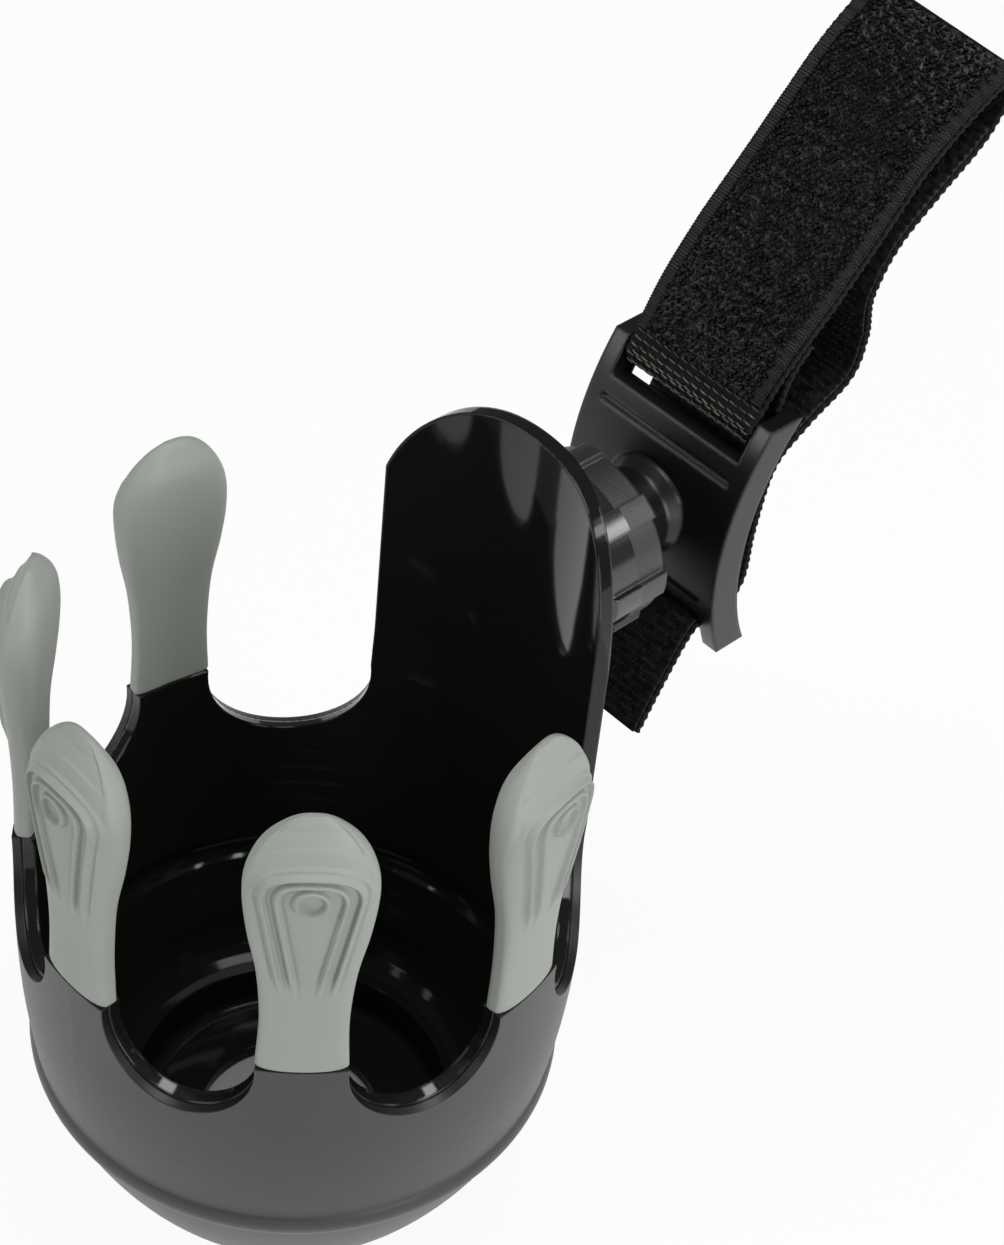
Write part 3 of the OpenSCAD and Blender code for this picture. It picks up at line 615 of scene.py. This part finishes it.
# ---- Pile tape --------------------------------------------------------------------------
# The looped half of the hook-and-loop closure, sewn on the strap's outer face: a knitted
# ground with a smooth ribbed selvedge on each side and a dense field of random nylon loops.
tape_w = strap_w - 2 * tape_inset
tape_seat = web_t / 2 + layer_gap
selvedge, selvedge_pitch, selvedge_rise = 2.5, 0.55, 0.15
ground_t, loop_pitch, loop_jitter, loop_r, loop_wire = 0.7, 0.5, 0.1, 0.3, 0.06
knot_row, knot_pitch, knot_jitter, knot_r, knot_wire = 0.95, 1.15, 0.12, 0.26, 0.23
pile_fibre = finish_material("pile_fibre", textile, {
    "Tone": (0.0006, 0.0007, 0.0005, 1), "Thread Tone": (0.004, 0.0043, 0.0036, 1), "Spot Scale": 900.0,
    "Roughness": 0.3, "Roughness Drift": 0.25, "Fibre Scale": 8000.0, "Fibre Depth": 0.00003},
    Specular_IOR_Level=0.22)


def rough_field(shape, smooth):
    """Random heights of unit spread, smoothed over a few grid steps."""
    field = random.normal(size=shape)
    kernel = np.exp(-0.5 * (np.arange(-3 * smooth, 3 * smooth + 1) / smooth) ** 2)
    for axis in (0, 1):
        field = np.apply_along_axis(lambda line: np.convolve(line, kernel, "same"), axis, field)
    return field / field.std()


def pile_relief(s, u):
    """Ribs on the selvedges and a lumpy knitted ground between them."""
    inside = np.clip((tape_w / 2 - selvedge - np.abs(u)) / 0.5 + 0.5, 0, 1)
    ribs = selvedge_rise * np.cos(2 * pi * s / selvedge_pitch)
    lumps = 0.15 + 0.08 * rough_field(s.shape, 2)
    return inside * lumps + (1 - inside) * (ribs - selvedge_rise)


def knit_back(s, u):
    return 0 * s


def loop_field(row, pitch, jitter, radius, wire_r, rise):
    """Loops in staggered rows over the ground, each turned and set a little at random."""
    width = tape_w - 2 * selvedge
    length, u = np.meshgrid(np.arange(station_length(pile_first) + 0.3, station_length(pile_last) - 0.3, row),
                            np.arange(-width / 2, width / 2, pitch), indexing="ij")
    u = u + pitch / 2 * (np.arange(len(u)) % 2)[:, None]
    count = length.size
    length = length.ravel() + random.normal(0, jitter, count)
    u = u.ravel() + random.normal(0, jitter, count)
    bend_angle = np.linspace(-0.3, pi + 0.3, 7)
    path = radius * np.stack([np.cos(bend_angle), 1.15 * np.sin(bend_angle)], -1)
    lift = tape_seat + ground_t + rise + random.uniform(-0.1, 0.15, count)
    return tubes(length, u, lift, random.uniform(0, 2 * pi, count), path, wire_r)


pile_points, pile_quads = merged([
    band(pile_first, pile_last, tape_w, tape_seat, tape_seat + ground_t, 0.17, knit_back, pile_relief,
         tooth=(0.06, selvedge_pitch)),
    loop_field(loop_pitch, loop_pitch, loop_jitter, loop_r, loop_wire, -0.05),
    loop_field(knot_row, knot_pitch, knot_jitter, knot_r, knot_wire, 0.2)])
pile = new_piece("pile_tape_loops", pile_points, pile_quads, pile_fibre, "clamp")
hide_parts("pile_tape")

# ---- Hook tape --------------------------------------------------------------------------
# The hooked half of the closure, sewn on the strap's inner face: a ribbed ground with rows of
# cut nylon hooks that lean both ways, and a plain selvedge on each side.
hook_ground_t, hook_row, hook_pitch, hook_wire = 0.35, 1.5, 0.95, 0.1
hook_path = [(0, -0.1), (0.02, 0.25), (0.06, 0.42), (0.17, 0.55), (0.31, 0.55), (0.4, 0.43), (0.41, 0.32)]
hook_fibre = finish_material("hook_fibre", textile, {
    "Tone": (0.005, 0.005, 0.0048, 1), "Thread Tone": (0.022, 0.023, 0.021, 1), "Spot Scale": 900.0,
    "Roughness": 0.4, "Roughness Drift": 0.2, "Fibre Scale": 8000.0, "Fibre Depth": 0.00002},
    Specular_IOR_Level=0.25)


def hook_relief(s, u):
    return 0.08 * np.cos(2 * pi * s / hook_row)


def hook_field():
    width = tape_w - 2 * selvedge + 1
    length, u = np.meshgrid(np.arange(station_length(hook_first) + 0.5, fine_length[-1] - 0.5, hook_row),
                            np.arange(-width / 2, width / 2, hook_pitch), indexing="ij")
    turn = np.where(np.arange(length.shape[0])[:, None] % 2, 0, pi) + random.normal(0, 0.25, length.shape)
    u = u + random.normal(0, 0.06, u.shape)
    lift = np.full(length.size, tape_seat + hook_ground_t)
    base, quads = tubes(length.ravel(), u.ravel(), -lift, turn.ravel(),
                        [(x, -z) for x, z in hook_path], hook_wire)
    return base, quads


hook_points, hook_quads = merged([
    band(hook_first, last_station, tape_w, -tape_seat - hook_ground_t, -tape_seat, 0.22, hook_relief, knit_back,
         tooth=(0.06, selvedge_pitch)),
    hook_field()])
hook = new_piece("hook_tape_hooks", hook_points, hook_quads, hook_fibre, "clamp")
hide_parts("hook_tape")

# ---- Floor, light and camera --------------------------------------------------------------
# A pale table under a pale room, with soft boxes above and in front, and the camera at the
# place that the photograph was taken from.
floor_mesh = bpy.data.meshes.new("floor")
reach = 6.0
floor_mesh.from_pydata([(-reach, -reach, 0), (reach, -reach, 0), (reach, reach, 0), (-reach, reach, 0)], [],
                       [(0, 1, 2, 3)])
floor = bpy.data.objects.new("floor", floor_mesh)
bpy.context.collection.objects.link(floor)
floor_paint = bpy.data.materials.new("floor_paint")
floor_paint.use_nodes = True
floor_tree = floor_paint.node_tree
floor_shader = floor_tree.nodes["Principled BSDF"]
floor_shader.inputs["Base Color"].default_value = (0.86, 0.86, 0.86, 1)
floor_shader.inputs["Roughness"].default_value = 0.9
seen = floor_tree.nodes.new("ShaderNodeLightPath")
looked_at = math_node(floor_tree, "ADD", seen.outputs["Is Camera Ray"], seen.outputs["Is Glossy Ray"], clamp=True)
looked_at = math_node(floor_tree, "ADD", looked_at, seen.outputs["Is Transmission Ray"], clamp=True)
white = floor_tree.nodes.new("ShaderNodeEmission")
backdrop = floor_tree.nodes.new("ShaderNodeMixShader")
wire(floor_tree, math_node(floor_tree, "MULTIPLY", looked_at, 0.93), backdrop.inputs["Fac"])
wire(floor_tree, floor_shader.outputs["BSDF"], backdrop.inputs[1])
wire(floor_tree, white.outputs["Emission"], backdrop.inputs[2])
wire(floor_tree, backdrop.outputs["Shader"], floor_tree.nodes["Material Output"].inputs["Surface"])
floor_mesh.materials.append(floor_paint)

world = bpy.data.worlds.new("room")
bpy.context.scene.world = world
world.use_nodes = True
world.node_tree.nodes["Background"].inputs["Color"].default_value = (1, 1, 1, 1)
world.node_tree.nodes["Background"].inputs["Strength"].default_value = 0.13


def soft_box(name, spot, aim, size, power):
    light = bpy.data.lights.new(name, "AREA")
    light.shape = "RECTANGLE"
    light.size, light.size_y = size
    light.energy = power
    lamp = bpy.data.objects.new(name, light)
    lamp.location = spot
    lamp.rotation_euler = (Vector(aim) - Vector(spot)).to_track_quat("-Z", "Y").to_euler()
    bpy.context.collection.objects.link(lamp)


middle = (0, 0.03, 0.09)
soft_box("key", (-0.5, -1.1, 0.75), middle, (0.6, 0.9), 7.5)
soft_box("side", (1.25, -0.1, 0.45), middle, (0.45, 0.9), 9)
soft_box("top", (0.15, 0.1, 1.3), middle, (0.35, 0.7), 7)
soft_box("rear", (0.7, 0.9, 0.75), middle, (0.4, 0.4), 3)

camera_az, camera_el, camera_roll = radians(42.75), radians(42.77), radians(6.25)
camera_spot = Vector((242.34, -220.57, 431.72)) * MM
focal_px, frame_px = 2957.4, 1245
back = Vector((sin(camera_az) * cos(camera_el), -cos(camera_az) * cos(camera_el), sin(camera_el)))
right = Vector((cos(camera_az), sin(camera_az), 0))
up = back.cross(right)
side = right * cos(camera_roll) + up * sin(camera_roll)
top = up * cos(camera_roll) - right * sin(camera_roll)
lens = bpy.data.cameras.new("camera")
lens.sensor_width = 36
lens.lens = focal_px / frame_px * lens.sensor_width
lens.clip_start = 0.01
camera = bpy.data.objects.new("camera", lens)
camera.matrix_world = Matrix([(side[i], top[i], back[i], camera_spot[i]) for i in range(3)] + [(0, 0, 0, 1)])
bpy.context.collection.objects.link(camera)
bpy.context.scene.camera = camera

bpy.context.scene.view_settings.view_transform = "Standard"
